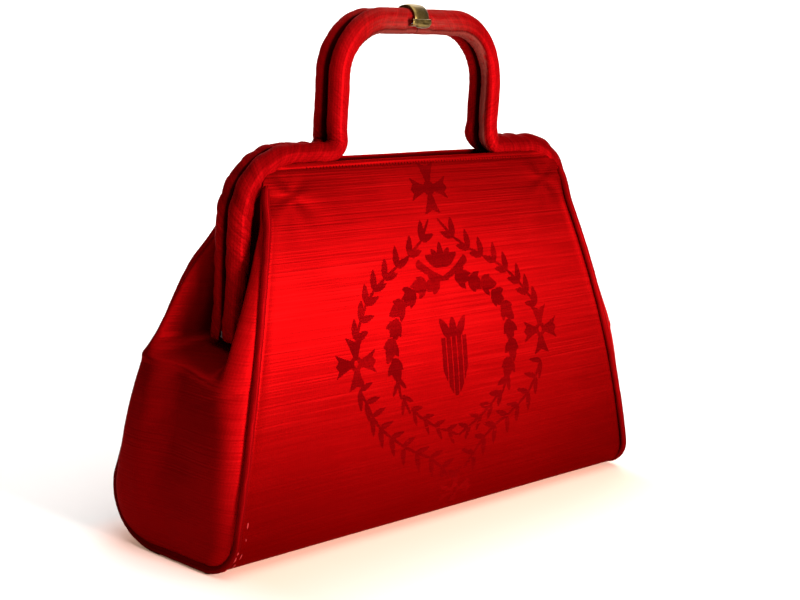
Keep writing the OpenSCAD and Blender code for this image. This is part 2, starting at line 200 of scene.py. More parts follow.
# ---- meshes ----------------------------------------------------------------------------
class Mesh:
    """Collects grids of points, in millimetres, into one mesh with a UV map in millimetres."""

    def __init__(self):
        self.v, self.q, self.uv, self.m, self.w, self.k, self.n = [], [], [], [], [], [], 0

    def grid(self, P, UV, wrap=False, flip=False, mat=0, wear_and_shade=None, painted_shade=None):
        n, m = P.shape[:2]
        i = np.arange(n * m).reshape(n, m) + self.n
        if wrap:
            i = np.concatenate([i, i[:, :1]], 1)
        q = np.stack([i[:-1, :-1], i[:-1, 1:], i[1:, 1:], i[1:, :-1]], -1).reshape(-1, 4)
        t = np.stack([UV[:-1, :-1], UV[:-1, 1:], UV[1:, 1:], UV[1:, :-1]], 2).reshape(-1, 4, 2)
        if flip:
            q, t = q[:, ::-1], t[:, ::-1]
        self.v.append(P.reshape(-1, 3))
        self.q.append(q)
        self.uv.append(t)
        self.m.append(np.full(len(q), mat))
        for to, a in ((self.w, wear_and_shade), (self.k, painted_shade)):
            to.append(np.zeros(n * m) if a is None else np.broadcast_to(a, (n, m)).reshape(-1))
        self.n += n * m

    def quads(self, V, UV, mat=0):
        """Loose quads: V is (k, 4, 3) and UV (k, 4, 2)."""
        k = len(V)
        self.v.append(V.reshape(-1, 3))
        self.q.append(np.arange(4 * k).reshape(k, 4) + self.n)
        self.uv.append(UV)
        self.m.append(np.full(k, mat))
        self.w.append(np.zeros(4 * k))
        self.k.append(np.zeros(4 * k))
        self.n += 4 * k

    def build(self, name, mats, weld=False):
        V, Q, T = np.concatenate(self.v), np.concatenate(self.q), np.concatenate(self.uv)
        me = bpy.data.meshes.new(name)
        me.vertices.add(len(V))
        me.vertices.foreach_set("co", (V * MM).astype(np.float32).ravel())
        me.loops.add(Q.size)
        me.loops.foreach_set("vertex_index", Q.astype(np.int32).ravel())
        me.polygons.add(len(Q))
        me.polygons.foreach_set("loop_start", np.arange(0, Q.size, 4, dtype=np.int32))
        me.update(calc_edges=True)
        me.polygons.foreach_set("use_smooth", np.ones(len(Q), bool))
        me.polygons.foreach_set("material_index", np.concatenate(self.m).astype(np.int32))
        me.uv_layers.new(name="mm").data.foreach_set("uv", T.astype(np.float32).ravel())
        for key, a in (("wear_and_shade", self.w), ("painted_shade", self.k)):
            layer = me.attributes.new(key, "FLOAT", "POINT")
            layer.data.foreach_set("value", np.concatenate(a).astype(np.float32))
        for m in mats:
            me.materials.append(m)
        me.validate()
        if weld:
            b = bmesh.new()
            b.from_mesh(me)
            bmesh.ops.remove_doubles(b, verts=b.verts, dist=1e-6)
            b.to_mesh(me)
            b.free()
        me.update()
        o = bpy.data.objects.new(name, me)
        bpy.context.scene.collection.objects.link(o)
        return o


def tube(P, A, B, R, n):
    """Rings round the path P, with the cross axes A and B; R is (len(P), n)."""
    th = np.arange(n) / n * 2 * np.pi
    ring = np.cos(th)[None, :, None] * A[:, None] + np.sin(th)[None, :, None] * B[:, None]
    return P[:, None] + R[:, :, None] * ring


def tube_uv(s, r, n):
    return np.stack(np.broadcast_arrays(s[:, None], np.arange(n + 1)[None] / n * 2 * np.pi * r), -1)


# ---- materials -------------------------------------------------------------------------
class Nodes:
    def __init__(self, name):
        self.mat = bpy.data.materials.new(name)
        self.mat.use_nodes = True
        self.t = self.mat.node_tree
        self.t.nodes.clear()
        self.out = self.t.nodes.new("ShaderNodeOutputMaterial")
        self.p = self.t.nodes.new("ShaderNodeBsdfPrincipled")
        self.t.links.new(self.p.outputs[0], self.out.inputs[0])

    def new(self, kind, **kw):
        n = self.t.nodes.new("ShaderNode" + kind)
        for k, v in kw.items():
            setattr(n, k, v)
        return n

    def put(self, sock, val):
        if isinstance(val, bpy.types.NodeSocket):
            self.t.links.new(val, sock)
        else:
            sock.default_value = val

    def math(self, op, a, b=0.0, c=0.0):
        n = self.new("Math", operation=op)
        for i, x in enumerate((a, b, c)):
            self.put(n.inputs[i], x)
        return n.outputs[0]

    def uv(self, su, sv, ou=0.0, ov=0.0, turn=0.0):
        n = self.new("UVMap", uv_map="mm")
        m = self.new("Mapping")
        self.put(m.inputs[0], n.outputs[0])
        m.inputs["Scale"].default_value = (su, sv, 1)
        m.inputs["Location"].default_value = (ou, ov, 0)
        if turn:
            k = self.new("Mapping")
            k.inputs["Rotation"].default_value = (0, 0, turn)
            self.put(k.inputs[0], n.outputs[0])
            self.put(m.inputs[0], k.outputs[0])
        return m.outputs[0]

    def noise(self, vec, scale=1.0, detail=2.0, rough=0.5, dim="2D"):
        n = self.new("TexNoise", noise_dimensions=dim)
        self.put(n.inputs["Vector"], vec)
        n.inputs["Scale"].default_value = scale
        n.inputs["Detail"].default_value = detail
        n.inputs["Roughness"].default_value = rough
        return n.outputs[0]

    def ramp(self, fac, stops):
        n = self.new("ValToRGB")
        e = n.color_ramp.elements
        while len(e) < len(stops):
            e.new(0.5)
        for x, (p, c) in zip(e, stops):
            x.position = p
            x.color = (*c, 1)
        self.put(n.inputs[0], fac)
        return n.outputs[0]

    def mix(self, fac, a, b):
        n = self.new("Mix", data_type="RGBA")
        self.put(n.inputs[0], fac)
        self.put(n.inputs[6], a)
        self.put(n.inputs[7], b)
        return n.outputs[2]

    def span(self, val, a, b, c, d):
        n = self.new("MapRange", interpolation_type="SMOOTHSTEP")
        for i, x in enumerate((val, a, b, c, d)):
            self.put(n.inputs[i], x)
        return n.outputs[0]

    def bump(self, height, strength, dist, normal=None):
        n = self.new("Bump")
        n.inputs["Strength"].default_value = strength
        n.inputs["Distance"].default_value = dist
        self.put(n.inputs["Height"], height)
        if normal is not None:
            self.put(n.inputs["Normal"], normal)
        return n.outputs[0]

    def set(self, **kw):
        for k, v in kw.items():
            self.put(self.p.inputs[k.replace("_", " ")], v)


def silk(name, base, spread=0.22, gloss=0.5, satin=0.2, rib=1.0, wear_and_shade=None, slubs=1.0, dark=False, turn=0.0,
         painted_falloff=False):
    """Slub silk: uneven weft ribs along u, a fine warp, uneven dye and a red satin gloss."""
    n = Nodes(name)
    slub = n.noise(n.uv(0.0045, 0.52, 0, 0, turn), 1, 2, 0.5)
    thread = n.noise(n.uv(0.010, 0.85, 3.1, 7.7, turn), 1, 2, 0.6)
    cloud = n.noise(n.uv(0.02, 0.016, 11.0, 5.0), 1, 2, 0.5)
    knot = n.noise(n.uv(0.03, 0.9, 23.0, 1.0), 1, 1, 0.4)
    weft = n.math("SINE", n.math("MULTIPLY", _axis(n, 1), 2 * math.pi / 1.4))
    warp = n.math("SINE", n.math("MULTIPLY", _axis(n, 0), 2 * math.pi / 1.45))
    weave = n.math("MULTIPLY", n.math("ADD", weft, n.math("MULTIPLY", warp, 0.7)), 0.5)
    tone = n.math("ADD", n.math("MULTIPLY", slub, 0.28 * slubs), n.math("MULTIPLY", thread, 0.42))
    tone = n.math("ADD", tone, n.math("MULTIPLY", cloud, 0.24 + 0.32 * (1 - slubs)))
    tone = n.math("ADD", tone, n.math("MULTIPLY_ADD", weave, 0.07, 0.02))
    lo, hi = [tuple(c * k for c in base) for k in (1 - spread, 1 + spread)]
    hi = (hi[0], hi[1] * 1.5, hi[2] * 1.3)
    col = n.ramp(tone, [(0.34, lo), (0.5, base), (0.66, hi)])
    # long bright slubs stand out here and there
    streak = n.math("MULTIPLY", n.math("GREATER_THAN", knot, 0.66), 0.2 * slubs)
    col = n.mix(streak, col, tuple(min(1, c * 1.45) for c in base) + (1,))
    if wear_and_shade is not None:
        att = n.new("Attribute", attribute_name="wear_and_shade")
        patch = n.noise(n.uv(0.10, 1.1, 2.0, 9.0), 1, 4, 0.65)
        f = n.math("MULTIPLY", att.outputs["Fac"], n.math("MULTIPLY_ADD", patch, 3.0, -0.7))
        f = n.math("MINIMUM", n.math("MAXIMUM", f, 0.0), 0.9)
        col = n.mix(f, col, (*wear_and_shade, 1))
        # painted shade: the cloth goes towards black where the sleeves' shade attribute is set
        col = n.mix(n.new("Attribute", attribute_name="painted_shade").outputs["Fac"], col, (0.006, 0.0, 0.0, 1))
    if painted_falloff:
        # painted shade: the panel is darker towards the bottom, towards its sides and at its top, where less light
        # falls
        along = n.math("ABSOLUTE", _axis(n, 0 if painted_falloff == "u" else 1))
        low = 1.0 if painted_falloff == "flip" else n.span(along, 28, 138, 0.34, 1.0)
        sides = 1.0
        if painted_falloff != "u":
            sides = n.math("MULTIPLY", n.span(_axis(n, 0), 10, 165, 1.0, 0.72),
                           n.span(_axis(n, 0), -145, -30, 0.86, 1.0))
        top = n.span(along, 165, 225, 1.0, 0.80)
        col = n.mix(n.math("MULTIPLY", n.math("MULTIPLY", low, sides), top), (0.004, 0.0, 0.0, 1), col)
    if painted_falloff == "flip":
        # painted sheen: the lowest floret is paler than the ground
        col = n.mix(n.span(along, 54, 68, 1.0, 0.0), col, (0.20, 0.001, 0.0014, 1))
    # painted shade: the gusset cloth darkens towards a fifth of its colour by its attribute
    if dark:
        att = n.new("Attribute", attribute_name="wear_and_shade")
        col = n.mix(att.outputs["Fac"], col, tuple(c * 0.2 for c in base) + (1,))
    rough = n.math("MULTIPLY_ADD", thread, 0.2, gloss - 0.1)
    high = n.math("ADD", n.math("MULTIPLY", slub, 0.6 * slubs), n.math("MULTIPLY", thread, 0.9))
    high = n.math("ADD", high, n.math("MULTIPLY", weave, 0.12))
    n.set(Base_Color=col, Roughness=rough, Metallic=satin, Specular_IOR_Level=0.004,
          Specular_Tint=(1, 0.1, 0.1, 1), Anisotropic=0.8, Normal=n.bump(high, 0.15 * rib, 0.0005))
    n.put(n.p.inputs["Tangent"], n.new("Tangent", direction_type="UV_MAP", uv_map="mm").outputs[0])
    return n.mat


def _axis(n, i):
    s = n.new("SeparateXYZ")
    m = n.new("UVMap", uv_map="mm")
    n.put(s.inputs[0], m.outputs[0])
    return s.outputs[i]


def metal(name, lo, hi, rough):
    n = Nodes(name)
    tc = n.new("TexCoord")
    a = n.noise(tc.outputs["Object"], 260, 3, 0.6, "3D")
    b = n.noise(tc.outputs["Object"], 1500, 2, 0.6, "3D")
    col = n.ramp(n.math("ADD", n.math("MULTIPLY", a, 0.7), n.math("MULTIPLY", b, 0.3)), [(0.3, lo), (0.7, hi)])
    n.set(Base_Color=col, Metallic=1.0, Roughness=n.math("MULTIPLY_ADD", a, 0.25, rough - 0.12),
          Normal=n.bump(b, 0.12, 0.0002))
    return n.mat


def card_mat():
    n = Nodes("card")
    tc = n.new("TexCoord")
    a = n.noise(tc.outputs["Object"], 400, 3, 0.6, "3D")
    n.set(Base_Color=n.ramp(a, [(0.3, (0.050, 0.036, 0.028)), (0.7, (0.085, 0.064, 0.050))]), Roughness=0.9,
          Normal=n.bump(a, 0.3, 0.0003))
    return n.mat


SILK = silk("silk_red", (0.30, 0.0012, 0.0017), spread=0.11, gloss=0.45, satin=0.85, painted_falloff=True)
SILK_SIDE = silk("silk_gusset", (0.32, 0.0011, 0.0018), spread=0.14, gloss=0.5, satin=0.4, slubs=0.45, rib=2.2,
                 dark=True)
SILK_BAR = silk("silk_bars", (0.255, 0.0009, 0.0017), spread=0.32, satin=0.3, slubs=0.6, rib=3.6,
                wear_and_shade=(0.23, 0.042, 0.032), turn=0.9)
SILK_PIPE = silk("silk_piping", (0.21, 0.0008, 0.0015), spread=0.16, satin=0.3, slubs=0.5, rib=2.0, painted_falloff="u")
MOTIF = silk("silk_motif", (0.105, 0.0003, 0.0008), spread=0.16, gloss=0.6, satin=0.3, slubs=0.6, painted_falloff="flip")
LINING = silk("lining_cloth", (0.07, 0.0003, 0.0012), spread=0.15, gloss=0.6, satin=0.05, slubs=0.3)
FRAY = silk("silk_fray", (0.30, 0.018, 0.021), gloss=0.6, satin=0.0)
BRASS = metal("brass", (0.09, 0.058, 0.017), (0.26, 0.17, 0.05), 0.36)
STEEL = metal("steel", (0.20, 0.19, 0.19), (0.42, 0.41, 0.41), 0.45)
DARK_STEEL = metal("dark_steel", (0.010, 0.008, 0.008), (0.026, 0.023, 0.022), 0.5)
CARD = card_mat()

# Opening the bag: the front cloth would follow the front bar and crease at the hinge's height, the back stay,
# and the gussets give between the two; here the pieces of these folds only keep their baked transforms, and the
# start and end points are not read.
FOLD = {"front": dict(start=(0, 0, 0.066), end=(0, 0, 0.128)),
        "gusset": dict(start=(0, 0.006, 0.178), end=(0, -0.00685, 0.18415))}


def soft(o, slot, where, *nodes):
    """Places a soft piece: where names its fold in FOLD, and such a piece only keeps its baked transform, or
    "rear" for one that stays with the bag.
    """
    if where in FOLD:
        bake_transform(o)
    else:
        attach(o, "bag")
    if nodes:
        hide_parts(*nodes)


# ---- the outer cloth -------------------------------------------------------------------
EDGE = -0.8


def body_disp(x, v):
    """How far the cloth stands off the even surface, along its normal."""
    _, z, _, nz = profile(v, x)
    e = half_w(z) - EDGE - np.abs(x)
    d = 0.45 * noise(x / 58 + 3.3, v / 46, 1) + 0.12 * noise(x / 15, v / 19, 2)
    d = d * smooth(e / 14)
    # a soft roll along the end seam, which then drops into the groove beside the piping
    d = d + (0.5 * np.exp(-((e - 5.0) / 1.7) ** 2) - 1.5 * smooth((3.6 - e) / 2.2)) * smooth((178 - z) / 12)
    # puckers where the panel's top corners are sewn under the bar
    px, pz = np.abs(x) - 100, z - 176
    rr, aa = np.hypot(px, pz), np.arctan2(pz, px)
    d = d + 0.2 * np.exp(-(rr / 20) ** 2) * np.sin(5 * aa + 1.2 * np.sign(x)) * smooth(rr / 5)
    top = LENGTH - np.abs(v)
    d = d - 0.22 * np.exp(-((top - 2.4) / 0.9) ** 2) * (0.6 + 0.4 * np.sin(2 * np.pi * x / 2.3))
    return d * np.clip(1 + nz, 0, 1)


def on_body(x, v, off=0.0):
    x, v = np.broadcast_arrays(np.asarray(x, float), np.asarray(v, float))
    y, z, ny, nz = profile(v, x)
    d = body_disp(x, v) + off
    return np.stack([x, y + ny * d, z + nz * d], -1)


def body_cloth(name, sgn):
    """Half of the outer cloth, from the bottom's middle to one mouth edge, with its turned-in hem."""
    half = np.concatenate([np.linspace(0, CORNER_Y, 8)[:-1], np.linspace(CORNER_Y, LENGTH - 8, 120)[:-1],
                           np.linspace(LENGTH - 8, LENGTH, 16)])
    v = sgn * half
    hw = half_w(profile(v, END_X)[1]) - EDGE
    band = np.array([0, 0.4, 0.8, 1.2, 1.6, 2.0, 2.4, 2.9, 3.5, 4.2, 5.0, 6.2, 8.0])
    mid = np.linspace(-1, 1, 91)[1:-1]
    x = np.concatenate([-(hw[:, None] - band), mid[None] * (hw[:, None] - 8), (hw[:, None] - band)[:, ::-1]], 1)
    vv = np.broadcast_to(v[:, None], x.shape)
    P = on_body(x, vv)
    UV = np.stack([x, vv], -1)
    _, zt, ny, _ = profile(v[-1])
    rows = []
    for a in np.radians([45, 90, 135, 180]):
        rows.append(P[-1] + np.array([0, ny * 0.6 * (math.cos(a) - 1), 0.6 * math.sin(a)]))
    for drop in (2.0, 5.0, 9.0):
        rows.append(rows[3] + np.array([0, sgn * (float(wall_y(zt - drop)) - float(wall_y(zt))), -drop]))
    uvs = [np.stack([x[-1], np.full(x.shape[1], v[-1] - sgn * (i + 1) * 1.0)], -1) for i in range(len(rows))]
    m = Mesh()
    m.grid(np.concatenate([P, rows]), np.concatenate([UV, uvs]), flip=sgn > 0)
    return m.build(name, [SILK])


for name, sgn, where in (("body_cloth", -1, "front"), ("body_cloth_rear", 1, "rear")):
    body = body_cloth(name, sgn)
    soft(body, "silk", where, "body_panel")


# ---- the woven ornament ----------------------------------------------------------------
ROW = 0.55


def motif_mask(X, Z):
    """Where the ornament's float threads show, at the points (X, Z) of the front panel."""
    M = np.zeros(X.shape, bool)

    def leaf(x, z, ang, ln, wd, sharp=0.8, gap=0.0):
        x1, z1 = x + ln * math.cos(ang), z + ln * math.sin(ang)
        pad = wd
        i0 = np.searchsorted(-Z[:, 0], -(max(z, z1) + pad))
        i1 = np.searchsorted(-Z[:, 0], -(min(z, z1) - pad))
        j0 = np.searchsorted(X[0], min(x, x1) - pad)
        j1 = np.searchsorted(X[0], max(x, x1) + pad)
        if i1 <= i0 or j1 <= j0:
            return
        dx, dz = X[i0:i1, j0:j1] - x, Z[i0:i1, j0:j1] - z
        a = (dx * math.cos(ang) + dz * math.sin(ang)) / ln
        b = np.abs(-dx * math.sin(ang) + dz * math.cos(ang))
        edge = wd / 2 * np.sin(np.pi * np.clip(a, 0, 1) ** 0.75) ** sharp
        if gap:
            M[i0:i1, j0:j1] &= ~((a > 0) & (a < 1) & (b < edge + gap))
        M[i0:i1, j0:j1] |= (a > 0) & (a < 1) & (b < edge)

    def ring(x, z, r0, r1):
        d = np.hypot(X - x, Z - z)
        M[(d > r0) & (d < r1)] = True

    def path(pts, step):
        pts = np.array(pts)
        s = run_length(pts)
        u = np.arange(step / 2, s[-1], step)
        px, pz = np.interp(u, s, pts[:, 0]), np.interp(u, s, pts[:, 1])
        qx, qz = np.interp(u + 0.5, s, pts[:, 0]), np.interp(u + 0.5, s, pts[:, 1])
        ox, oz = np.interp(u - 0.5, s, pts[:, 0]), np.interp(u - 0.5, s, pts[:, 1])
        return px, pz, np.arctan2(qz - oz, qx - ox)

    def petal(x, z, ang, r0, r1, w0, w1, tips):
        """A petal that widens outwards to a notched end."""
        dx, dz = X - x, Z - z
        a = dx * math.cos(ang) + dz * math.sin(ang)
        b = -dx * math.sin(ang) + dz * math.cos(ang)
        f = np.clip((a - r0) / (r1 - r0), 0, 1)
        hw = w0 + (w1 - w0) * f ** 1.2
        n = np.abs(b) / np.maximum(hw, 0.1)
        saw = np.abs(n - 0.5) * 2 if tips == 3 else n
        M[(a > r0) & (np.abs(b) < hw) & (a < r1 - 2.3 * (1 - saw))] = True

    cx = 3.5
    florets = [(0.8, 175.2, 1.0), (-71.0, 92.2, 1.0), (80.0, 93.2, 1.0), (1.1, 15.5, 0.9)]
    # the leaf pairs of the wreath, from the side florets up to the top and down to the bottom
    upper = {-1: [(-70, 104), (-65, 113), (-59.5, 120.5), (-52.5, 127), (-43.5, 132), (-33, 137.2), (-22.5, 142),
                  (-11.5, 149), (-4.5, 158.5)],
             1: [(78.5, 107.5), (71.5, 114.5), (65, 121), (55.5, 128.4), (46, 133.8), (35.5, 137.8), (25.5, 142.4),
                 (14, 149.2), (4, 158.8)]}
    lower = {-1: [(-69.8, 78.5), (-65.6, 72), (-61.5, 64.5), (-56, 57.5), (-48.3, 51.5), (-39.5, 45.8),
                  (-29.4, 40.5), (-18.5, 36), (-9.5, 29.5), (-3, 22)],
             1: [(78.3, 76), (73, 67.5), (66, 59.5), (56.5, 53.8), (46.8, 49.4), (36, 45.5), (26.5, 40.3),
                 (17, 33), (9, 26)]}
    # half of the garland, as (distance from its middle, height)
    swag = [(1, 128.2), (16.4, 126.4), (28, 123), (39.4, 116), (45.7, 107), (48.5, 97.5), (48.2, 91), (47, 84),
            (45.2, 74.5), (40.5, 66.2), (30.5, 59), (20, 52.8), (7, 47.5)]
    for side in (-1, 1):
        for pts, up, wd in ((upper[side], 1, 4.3), (lower[side], -1, 3.3)):
            for i, ((x, z), (x1, z1)) in enumerate(zip(pts[:-1], pts[1:])):
                j = 0.1 * math.sin(2.4 * i + side)
                leaf(x, z, math.atan2(z1 - z, x1 - x), math.hypot(z1 - z, x1 - x) + 1, 1.5, 0.3)
                leaf(x, z, up * (math.pi / 2 + side * (0.12 + j)), 10.4, wd, 0.75)
                leaf(x, z, math.pi / 2 + side * (math.pi / 2 - 0.24 + j), 10.2, 0.9 * wd, 0.75)
        # garland of husks that hang into one another and end in twigs
        pts = np.array([(cx + 1.5 + side * w, z) for w, z in swag])
        for i, (x, z, a) in enumerate(zip(*path(pts, 10.4))):
            if z > (86 if side < 0 else 80):
                leaf(x, z, a + 0.16 * (-1) ** i, 14.0, 7.6, 0.75, 0.9)
                leaf(x + 1.0 * math.cos(a), z + 1.0 * math.sin(a), a + 0.8 * (-1) ** i, 8.6, 4.6, 0.8)
                leaf(x + 2.5 * math.cos(a), z + 2.5 * math.sin(a), a - 0.7 * (-1) ** i, 8.0, 4.4, 0.8)
            else:
                broad = side > 0 and z > 54
                leaf(x, z, a, 11.5, 1.5, 0.3)
                leaf(x, z, a + 0.6, 9.0, 3.4 if broad else 2.5, 0.7)
                leaf(x + 2 * math.cos(a), z + 2 * math.sin(a), a - 0.7, 8.5, 3.6 if broad else 2.4, 0.7)
        # ribbon ends that cross under the lotus
        q = np.linspace(0, 1, 60)
        tail = np.stack([2.0 + side * (-3 + 22 * q), 128.2 + 9.3 * q ** 1.7], -1)
        for x, z, a in zip(*path(tail, 0.6)):
            leaf(x - 1.5 * math.cos(a), z - 1.5 * math.sin(a), a, 3.0, 2.4 + 0.11 * abs(x - 2), 0.3)
    for fx, fz, k in florets:
        for q in range(4):
            long, wide, tips = (14.3, 5.9, 3) if q % 2 == 0 else (13.4, 6.2, 2)
            petal(fx, fz, math.pi / 2 * q, 3.2 * k, long * k, 1.7 * k, wide * k, tips)
        ring(fx, fz, 0.0 if fz > 150 else 1.7, 3.9 * k)
    # lotus over the garland
    for d, ln, wd in ((0, 12.2, 5.0), (0.62, 11.0, 5.0), (-0.62, 11.0, 5.0), (1.08, 13.0, 5.6),
                      (-1.08, 13.0, 5.6)):
        leaf(2.0 + 0.8 * math.sin(d), 135.0, math.pi / 2 - d, ln, wd, 0.55)
    M[(np.hypot((X - 2.0) / 1.25, Z - 139.2) < 5.2) & (Z < 139.8)] = True
    # plain fluted drop in the middle, under three leaves
    ex = 5.0
    leaf(ex, 97, math.pi / 2, 11, 5.6, 0.6)
    leaf(ex - 3, 97, math.pi / 2 + 0.6, 13, 5.4, 0.6)
    leaf(ex + 3, 97, math.pi / 2 - 0.6, 13, 5.4, 0.6)
    drop = np.abs(X - ex) < 10.6 * np.clip((Z - 66) / 16, 0, 1) ** 0.6
    flute = (np.abs((X - ex) / 4.3 - np.round((X - ex) / 4.3)) < 0.36) & (np.abs(X - ex) < 10.5)
    M[drop & flute & (Z < 97.5) & (Z > 66)] = True
    # the float threads are worn away towards the bottom
    M &= noise(X / 4.5 + 40, Z * 1.8 + 40, 55) > -1.05 + 0.62 * smooth((80 - Z) / 60)
    return M


def woven_motif():
    rows = length_at(np.arange(188.5, 7, -0.1))
    v_rows = np.arange(rows.max(), rows.min(), -ROW)
    z_rows = np.interp(v_rows, _PL, _PZ)
    xs = np.arange(-92, 96, 0.2)
    X, Z = np.broadcast_arrays(xs[None], z_rows[:, None])
    M = motif_mask(xs[None] + np.zeros_like(Z), Z + 0 * X)
    rng = np.random.RandomState(5)
    V = []
    for k, (v, z) in enumerate(zip(v_rows, z_rows)):
        line = M[k]
        thin = 1 - 0.42 * float(smooth((75 - z) / 60))
        edge = np.flatnonzero(np.diff(np.concatenate([[0], line.astype(int), [0]])))
        for a, b in zip(edge[::2], edge[1::2]):
            x0, x1 = xs[a] - 0.35 * rng.rand(), xs[b - 1] + 0.2 + 0.35 * rng.rand()
            if x1 - x0 < 0.5:
                continue
            cuts = np.linspace(x0, x1, max(1, int((x1 - x0) / 5)) + 1)
            full = 0.78 + 0.22 * float(noise((x0 + x1) / 16 + 9, z / 9, 57))
            h = ROW * thin * min(0.97, full + 0.12 * rng.rand()) / 2
            for p, q in zip(cuts[:-1], cuts[1:]):
                V.append([(p, v - h), (q, v - h), (q, v + h), (p, v + h)])
    V = np.array(V)
    P = on_body(V[:, :, 0], -V[:, :, 1], 0.1)
    m = Mesh()
    m.quads(P[:, ::-1], np.stack([V[:, :, 0], -V[:, :, 1]], -1)[:, ::-1])
    return m.build("woven_motif", [MOTIF])


soft(woven_motif(), "silk", "front")


# ---- gussets ---------------------------------------------------------------------------
def gusset_x(s, z, side):
    """Distance of the gusset from the middle plane; the crease runs a little higher at the back."""
    zz = z - (4.5 * s + 0.8 * np.sin(3 * s + 1)) * np.exp(-((z - RIDGE) / 34) ** 2)
    a = np.abs(s)
    up = np.clip((zz - RIDGE) / (GUSSET_TOP - RIDGE), 0, 1)
    e, f = 0.68 + 0.2 * up, 0.3 + 0.1 * up
    if side > 0:
        e = np.where(s < 0, 0.8 + 0.1 * up, e)
    full = (side > 0) * smooth((-s - 0.3) / 0.3)
    big = BULGE + 6.5 * smooth(s / 0.55) + 4.0 * full
    square = np.where(s > 0, 9.0, 8.0) + 6.0 * full
    low = big * np.sin(np.pi / 2 * np.clip(zz / RIDGE, 0, 1)) * (1 - a ** square)
    w = big * (1 - up) ** WING_FALL
    v = DENT + (DENT_TOP - DENT) * up
    t = np.clip((a - e) / (1 - e), 0, 1)
    wing = np.where(s < 0, np.sqrt(1 - t ** 2), smooth(1 - t))
    high = np.where(a > e, w * wing, w - (w + v) * smooth((e - a) / (e - f)))
    k = smooth((zz - RIDGE) / 13.5)
    x = seam_x(z) + (1 - k) * low + k * high
    free = smooth((1 - a) / 0.16) * smooth(z / 18)
    x = x + free * (0.7 * noise(s * 2.2 + side, z / 26, 31) + 0.25 * noise(s * 5 + 2 * side, z / 10, 32))
    # a sharp rim on the crease, and drag lines from its front end
    x = x + free * 0.9 * np.exp(-((zz - RIDGE - 0.5) / 2.2) ** 2)
    x = x - free * 0.5 * np.exp(-((z - 84 + 9 * (s + 0.8)) / 1.6) ** 2) * smooth((-0.1 - s) / 0.5)
    return x - np.where((side > 0) & (s < 0), 0.0, 0.9) * smooth((a - 0.955) / 0.045)


def gusset(side):
    z = np.concatenate([np.linspace(0, CORNER_H, 16)[:-1], np.linspace(CORNER_H, RIDGE - 9, 36)[:-1],
                        np.linspace(RIDGE - 9, RIDGE + 22, 52)[:-1], np.linspace(RIDGE + 22, GUSSET_TOP, 50)])
    s = np.sin(np.linspace(-math.pi / 2, math.pi / 2, 91)) * 0.35 + np.linspace(-1, 1, 91) * 0.65
    Z, S_ = np.meshgrid(z, s, indexing="ij")
    Y = S_ * (depth_y(Z, S_ > 0) + 0.2)
    X = gusset_x(S_, Z, side)
    # painted shade: dark in the fold and away from the front seam
    inward = smooth((seam_x(Z) + 3 - X) / 14) * smooth((Z - RIDGE) / 18)
    behind = 0.6 * smooth((S_ + 0.84 + 0.13 * smooth((RIDGE - 5 - Z) / 25)) / 0.3)
    dark = np.maximum(inward, behind)
    UV = np.stack([Y, Z], -1)
    outer = np.stack([side * X, Y, Z], -1)
    inner = np.stack([side * (X - PANEL_T), Y, Z], -1)
    m = Mesh()
    m.grid(outer, UV, flip=side < 0, wear_and_shade=dark)
    m.grid(inner, UV, flip=side > 0, mat=1)
    rim = np.concatenate([outer[-1:], (outer[-1:] + inner[-1:]) / 2 + np.array([0, 0, 0.5]), inner[-1:]])
    across = np.array([[0], [0.5], [1]]) * PANEL_T + 0 * Y[-1]
    m.grid(rim, np.stack([np.broadcast_to(Y[-1], (3, len(s))), across], -1), flip=side < 0)
    for a, b, f in ((outer[0], inner[0], side > 0), (outer[:, 0], inner[:, 0], side < 0),
                    (outer[:, -1], inner[:, -1], side > 0)):
        k = np.stack([np.arange(len(a)) * 1.0, np.zeros(len(a))], -1)
        m.grid(np.stack([a, b]), np.stack([k, k + [0, PANEL_T]]), flip=f)
    return m.build(SIDE_NAME[side] + "_gusset_cloth", [SILK_SIDE, LINING], weld=True)


for side in (-1, 1):
    g = gusset(side)
    soft(g, "silk", "gusset", SIDE_NAME[side] + "_gusset")


# ---- piping ----------------------------------------------------------------------------
def pipe_out(nz):
    """How far the cord's middle stands outside the panel; it sinks in at the bottom."""
    return 1.1 - 3.1 * np.clip(-nz, 0, None) ** 1.5


def piping(side, sgn):
    v1 = float(length_at(GUSSET_TOP))
    v = np.linspace(0, v1, 261) if sgn > 0 else np.linspace(-v1, 0, 261)
    y, z, ny, nz = profile(v, END_X)
    on = pipe_out(nz)
    P = np.stack([side * (seam_x(z) - 0.1), y + on * ny, z + on * nz], -1)
    P[:, 2] = np.maximum(P[:, 2], PIPE_R * 1.06)
    A = np.stack([0 * v, ny, nz], -1)
    B = np.stack([np.full(len(v), float(side)), 0 * v, 0 * v], -1)
    n = 18
    th = np.arange(n) / n * 2 * np.pi
    R = PIPE_R * (0.96 + 0.07 * noise(v[:, None] / 7, th[None] * 1.2, 41 + side)
                  + 0.035 * noise(v[:, None] / 2.2, th[None] * 2.0, 43))
    tip = smooth((v1 - np.abs(v)) / 2.5)
    R = R * (0.15 + 0.85 * tip[:, None])
    m = Mesh()
    m.grid(tube(P, A, B, R, n), tube_uv(v, PIPE_R, n), wrap=True, flip=side > 0)
    return m.build(SIDE_NAME[side] + "_piping_" + HALF_NAME[sgn], [SILK_PIPE])


for side in (-1, 1):
    for sgn in (-1, 1):
        soft(piping(side, sgn), "silk", HALF_NAME[sgn], SIDE_NAME[side] + "_piping")


